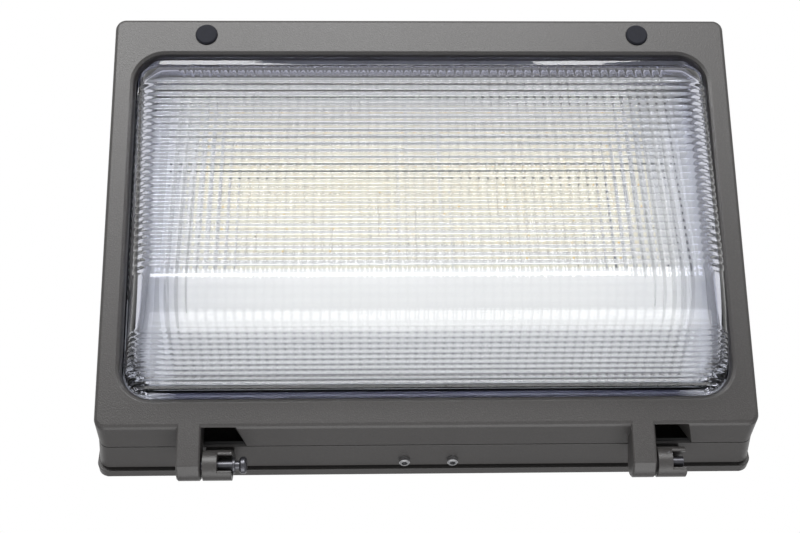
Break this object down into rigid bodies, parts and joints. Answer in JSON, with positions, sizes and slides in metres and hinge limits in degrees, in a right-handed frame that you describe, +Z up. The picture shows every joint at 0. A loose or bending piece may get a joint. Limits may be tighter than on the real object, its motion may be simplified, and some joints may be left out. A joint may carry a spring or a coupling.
{
  "type": "wall pack light",
  "caption": "Outdoor wall pack light: cast metal housing on a hook-on wall plate, with a hinged door that carries a clear prismatic glass over LED boards.",
  "frame": {"origin": "middle of the wall plate on the wall face, Y = 0", "axes": "+X to the right seen from in front, +Y into the wall, +Z up"},
  "size_m": [0.36, 0.1383, 0.2584],
  "materials": {
    "bronze_paint": "textured dark bronze powder coat",
    "zinc_steel": "zinc plated steel",
    "black_rubber": "matt closed-cell rubber",
    "bright_screw": "bright plated",
    "hinge_pin": "plain bright steel",
    "dark_plug": "matt dark rubber",
    "lens_glass": "clear moulded prismatic glass",
    "silicone": "pale silicone",
    "white_reflector": "gloss white paint",
    "tray_metal": "plain aluminium sheet",
    "board_white": "white solder mask",
    "chip_phosphor": "yellow phosphor under clear gel",
    "driver_case": "white painted steel case",
    "terminal_plastic": "cream moulded plastic",
    "ground_green": "green plated screw",
    "lead_red": "insulated lead",
    "lead_black": "insulated lead",
    "lead_white": "insulated lead",
    "lead_green": "insulated lead"
  },
  "bodies": {
    "housing": {"wall_plate": "zinc_steel", "wall_gasket": "black_rubber", "rear_housing": "bronze_paint", "wire_grommet": "black_rubber", "set_screws": "bright_screw", "conduit_plugs": "bronze_paint", "door_gasket": "black_rubber", "fixed_hinge_pin": "hinge_pin", "reflector_pan": "white_reflector", "pan_screws": "zinc_steel", "led_tray": "tray_metal", "tray_screws": "zinc_steel", "led_boards": "board_white", "led_chips": "chip_phosphor", "board_screws": "zinc_steel", "driver": "driver_case", "terminal_block": "terminal_plastic", "component_screws": "zinc_steel", "ground_screw": "ground_green", "board_lead_red": "lead_red", "board_lead_black": "lead_black", "line_lead": "lead_black", "neutral_lead": "lead_white", "ground_lead": "lead_green"},
    "door": {"door_frame": "bronze_paint", "lens": "lens_glass", "lens_gasket": "silicone", "lens_clips": "zinc_steel", "clip_screws": "zinc_steel", "door_screws": "zinc_steel", "screw_plugs": "dark_plug"},
    "release_pin": {"release_pin": "hinge_pin"}
  },
  "joints": [
    {"name": "door_hinge", "type": "hinge", "parent": "housing", "child": "door", "pos_m": [0, -0.03269, -0.13147], "axis": [1, 0, 0], "range_deg": [0, 110]},
    {"name": "pin_slide", "type": "slide", "parent": "housing", "child": "release_pin", "axis": [1, 0, 0], "range_m": [0, 0.009]}
  ]
}
